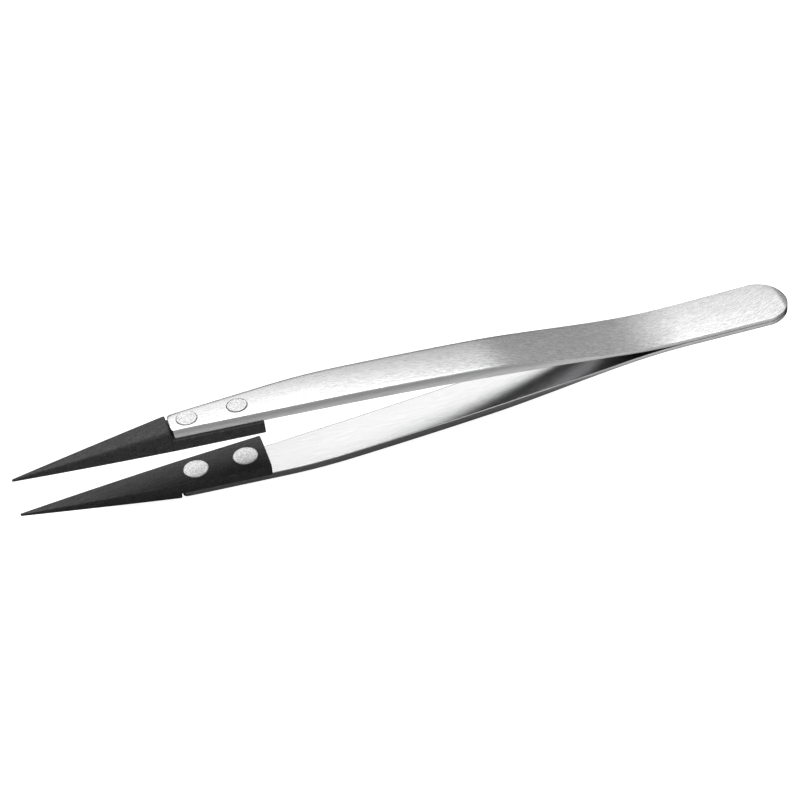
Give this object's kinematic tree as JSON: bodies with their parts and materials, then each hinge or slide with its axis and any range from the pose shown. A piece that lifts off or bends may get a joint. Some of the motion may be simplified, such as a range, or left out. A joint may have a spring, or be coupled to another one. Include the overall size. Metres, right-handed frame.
{
  "type": "precision tweezers",
  "caption": "Fine-point assembly tweezers: two sprung steel arms welded at the tail, each with a riveted black plastic tip that tapers to a point.",
  "frame": {"origin": "midway along the length and width, at the height of the lower arm's lowest outer face", "axes": "+X towards the welded tail, -X towards the points, +Z the way the upper arm opens, +Y across the width"},
  "size_m": [0.13, 0.0098, 0.0143],
  "materials": {
    "arm_steel": "fine satin brushed stainless steel",
    "tip_plastic": "black fibre-filled moulded plastic, satin",
    "rivet_steel": "matte blasted stainless steel",
    "weld_steel": "fused weld metal, hidden between the arms"
  },
  "bodies": {
    "tail": {"upper_arm_spring": "arm_steel", "lower_arm_spring": "arm_steel", "tail_spot_welds": "weld_steel"},
    "upper_jaw": {"upper_arm_blade": "arm_steel", "upper_tip": "tip_plastic", "upper_front_rivet": "rivet_steel", "upper_rear_rivet": "rivet_steel"},
    "lower_jaw": {"lower_arm_blade": "arm_steel", "lower_tip": "tip_plastic", "lower_front_rivet": "rivet_steel", "lower_rear_rivet": "rivet_steel"}
  },
  "joints": [
    {"name": "upper_arm_flex", "type": "hinge", "parent": "tail", "child": "upper_jaw", "pos_m": [0.033, 0, 0.00811], "axis": [0, -1, 0], "range_deg": [0, 2.01], "stiffness_Nm_per_rad": 2.5},
    {"name": "lower_arm_flex", "type": "hinge", "parent": "tail", "child": "lower_jaw", "pos_m": [0.033, 0, 0.00623], "axis": [0, 1, 0], "range_deg": [0, 2.01], "stiffness_Nm_per_rad": 2.5}
  ]
}
